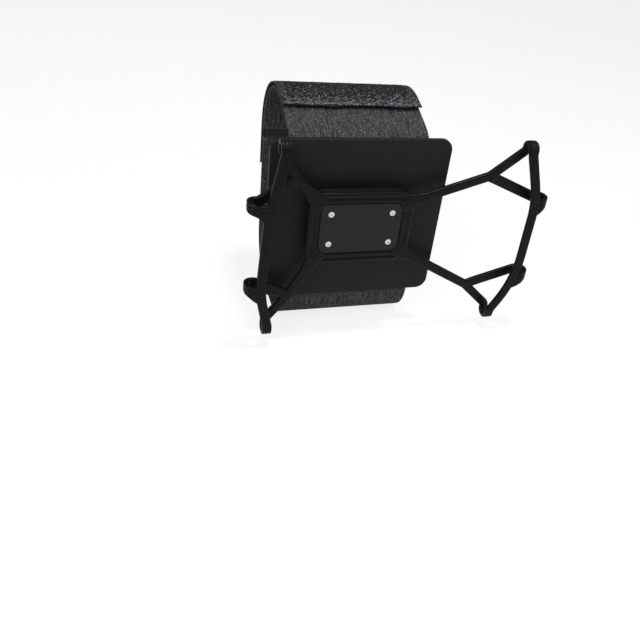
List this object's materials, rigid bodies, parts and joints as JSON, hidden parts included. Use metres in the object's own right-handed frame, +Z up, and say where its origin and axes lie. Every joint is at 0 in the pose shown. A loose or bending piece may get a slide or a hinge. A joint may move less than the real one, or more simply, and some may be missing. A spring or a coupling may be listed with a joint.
{
  "type": "tablet holder",
  "caption": "Car headrest tablet holder: elastic strap with a hook-and-loop flap, a moulded back plate on the strap, and a silicone web whose end bars grip a tablet laid sideways.",
  "frame": {"origin": "middle of the back plate's rear face, which rests against the back of the headrest", "axes": "+X to the right and +Z up as a viewer faces the tablet, +Y away from the viewer and into the headrest"},
  "size_m": [0.2096, 0.1164, 0.1592],
  "materials": {
    "plate": "fine matte grain",
    "web": "satin silicone",
    "cover": "matte",
    "screw": "zinc plated",
    "strap": "ribbed woven elastic",
    "hook": "hook tape",
    "flap": "brushed loop pile"
  },
  "bodies": {
    "root": {"back_plate": "plate", "silicone_web": "web", "hub_cover": "cover", "cover_screws": "screw", "elastic_strap": "strap", "hook_tape": "hook", "closure_flap": "flap"}
  },
  "joints": []
}
